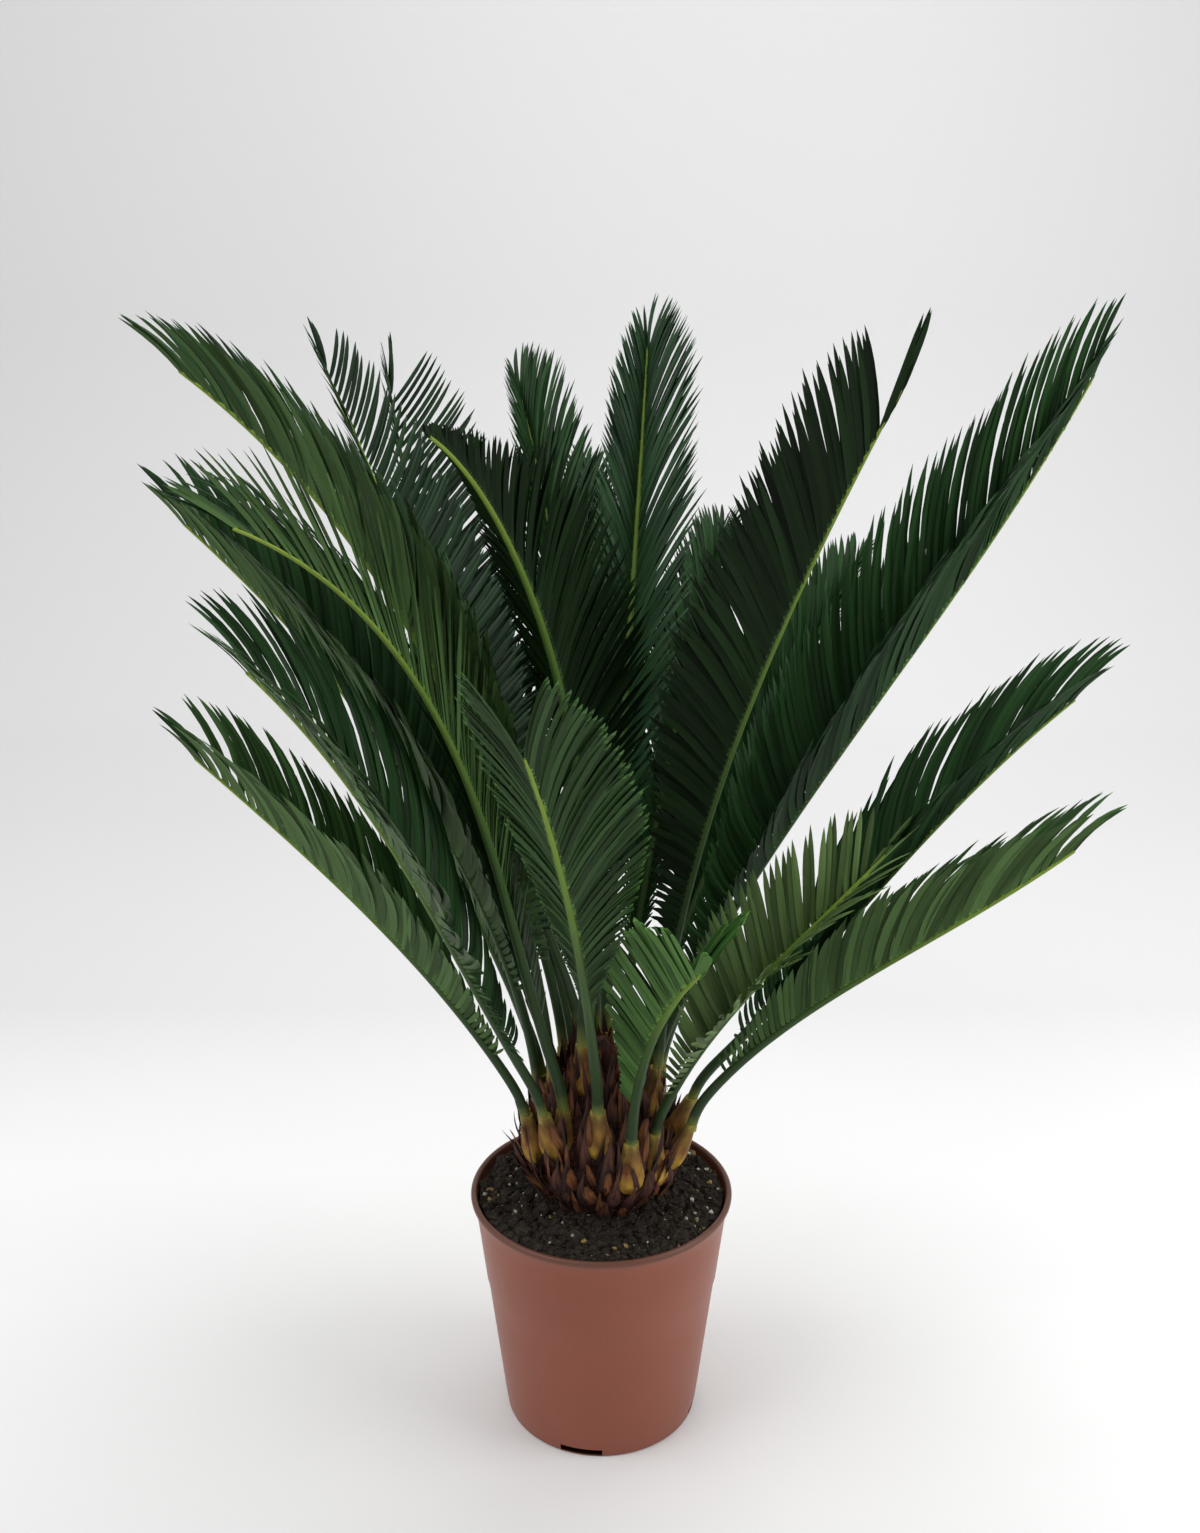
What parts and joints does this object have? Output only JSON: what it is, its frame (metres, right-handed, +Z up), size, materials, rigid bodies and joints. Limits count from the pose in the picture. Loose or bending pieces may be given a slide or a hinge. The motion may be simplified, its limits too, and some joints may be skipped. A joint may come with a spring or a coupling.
{
  "type": "potted sago palm",
  "caption": "Whole sago palm in a round nursery pot: a short scaly trunk under a full crown of stiff, arching feather fronds. It stands freely on the pot's flat underside.",
  "frame": {"origin": "Centre of the flat underside of the pot, on the axis of the pot.", "axes": "X to the right and Y to the rear of the plant as it is seen from its front, Z up along the axis of the pot. The row's -Z axis is the direction in which the underside faces."},
  "size_m": [0.648, 0.7202, 0.8002],
  "materials": {
    "pot_plastic": "satin moulded plastic, terracotta brown, faintly speckled",
    "potting_soil": "dark, crumbly peat with white perlite",
    "trunk_scales": "matt, shaggy brown scales with rust fuzz and ochre leaf bases",
    "frond_leaf": "glossy, leathery dark green leaflets on a yellow-green stalk"
  },
  "bodies": {
    "root": {"pot": "pot_plastic", "soil": "potting_soil", "trunk": "trunk_scales", "frond_front": "frond_leaf", "frond_front_young": "frond_leaf", "frond_front_right": "frond_leaf", "frond_front_left_arching": "frond_leaf", "frond_left_front_upper": "frond_leaf", "frond_left_front_lower": "frond_leaf", "frond_left_low": "frond_leaf", "frond_left_top": "frond_leaf", "frond_left_middle": "frond_leaf", "frond_right_low": "frond_leaf", "frond_right_middle": "frond_leaf", "frond_right_upright": "frond_leaf", "frond_right_top": "frond_leaf", "frond_back_tall_right": "frond_leaf", "frond_back_tall_left": "frond_leaf", "frond_back_left_inner": "frond_leaf", "frond_back_left_outer": "frond_leaf", "frond_back_middle": "frond_leaf", "frond_back_right_middle": "frond_leaf", "frond_back_right_low": "frond_leaf", "frond_right_rear": "frond_leaf", "frond_back_low": "frond_leaf", "frond_back_left_low": "frond_leaf", "frond_left_rear_low": "frond_leaf", "frond_left_rear": "frond_leaf"}
  },
  "joints": []
}
